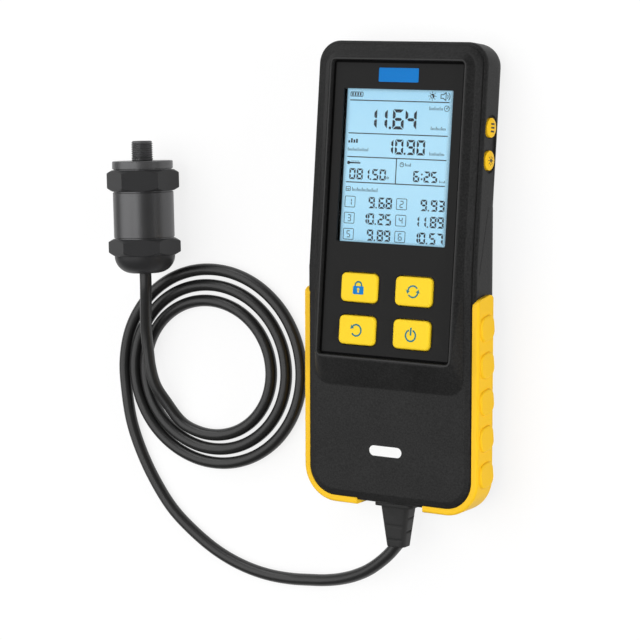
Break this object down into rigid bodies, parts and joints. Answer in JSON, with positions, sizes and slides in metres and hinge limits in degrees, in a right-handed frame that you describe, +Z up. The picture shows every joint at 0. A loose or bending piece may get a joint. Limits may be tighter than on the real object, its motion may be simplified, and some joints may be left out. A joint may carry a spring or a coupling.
{
  "type": "compression tester gauge",
  "caption": "Hand-held digital engine compression gauge: bent black case with a lit display, yellow keys, side buttons and grips, and a corded pressure sensor with a threaded stud.",
  "frame": {"origin": "on the surface the gauge lies on, midway along the case with its strain relief and midway across it", "axes": "+Z up out of the surface and through the face, +Y toward the top of the display, +X toward the side buttons"},
  "size_m": [0.2033, 0.2481, 0.0335],
  "materials": {
    "case": "finely textured matte",
    "panel": "smooth satin",
    "window": "clear",
    "display": "backlit pale blue",
    "light_guide": "white",
    "board": "green solder mask",
    "chip": "matte",
    "header": "matte",
    "keys": "satin",
    "side_buttons": "satin",
    "grips": "satin",
    "screws": "plain",
    "cells": "satin",
    "contacts": "plated",
    "relief": "matte",
    "cord": "satin",
    "sensor_body": "satin black",
    "sensor_sleeve": "polished black",
    "steel": "ground",
    "seal": "matte"
  },
  "bodies": {
    "gauge": {"front_cover": "case", "rear_cover": "case", "face_panel": "panel", "display_window": "window", "lcd_cell": "display", "backlight": "light_guide", "main_board": "board", "controller_chip": "chip", "board_header": "header", "buzzer": "chip", "key_switches": "chip", "side_switches": "chip", "left_grip": "grips", "right_grip": "grips", "battery_door": "case", "door_screw": "screws", "battery_1": "cells", "battery_2": "cells", "battery_3": "cells", "battery_springs": "contacts", "battery_plates": "contacts", "case_screws": "screws", "strain_relief": "relief", "sensor_cord": "cord", "sensor_cap": "sensor_body", "sensor_sleeve": "sensor_sleeve", "sensor_head": "sensor_body", "sensing_cell": "steel", "sensor_board": "board", "sensor_seal": "seal"},
    "key_lock": {"key_lock": "keys"},
    "key_cycle": {"key_cycle": "keys"},
    "key_back": {"key_back": "keys"},
    "key_power": {"key_power": "keys"},
    "side_button_upper": {"side_button_upper": "side_buttons"},
    "side_button_lower": {"side_button_lower": "side_buttons"}
  },
  "joints": [
    {"name": "key_lock_press", "type": "slide", "parent": "gauge", "child": "key_lock", "axis": [0, -0.0702, -0.9975], "range_m": [0, 0.0009], "stiffness_N_per_m": 1500, "springref_m": -0.0002},
    {"name": "key_cycle_press", "type": "slide", "parent": "gauge", "child": "key_cycle", "axis": [0, -0.0702, -0.9975], "range_m": [0, 0.0009], "stiffness_N_per_m": 1500, "springref_m": -0.0002},
    {"name": "key_back_press", "type": "slide", "parent": "gauge", "child": "key_back", "axis": [0, -0.0702, -0.9975], "range_m": [0, 0.0009], "stiffness_N_per_m": 1500, "springref_m": -0.0002},
    {"name": "key_power_press", "type": "slide", "parent": "gauge", "child": "key_power", "axis": [0, -0.0702, -0.9975], "range_m": [0, 0.0009], "stiffness_N_per_m": 1500, "springref_m": -0.0002},
    {"name": "side_button_upper_press", "type": "slide", "parent": "gauge", "child": "side_button_upper", "axis": [-1, 0, 0], "range_m": [0, 0.0006], "stiffness_N_per_m": 2000, "springref_m": -0.0002},
    {"name": "side_button_lower_press", "type": "slide", "parent": "gauge", "child": "side_button_lower", "axis": [-1, 0, 0], "range_m": [0, 0.0006], "stiffness_N_per_m": 2000, "springref_m": -0.0002}
  ]
}
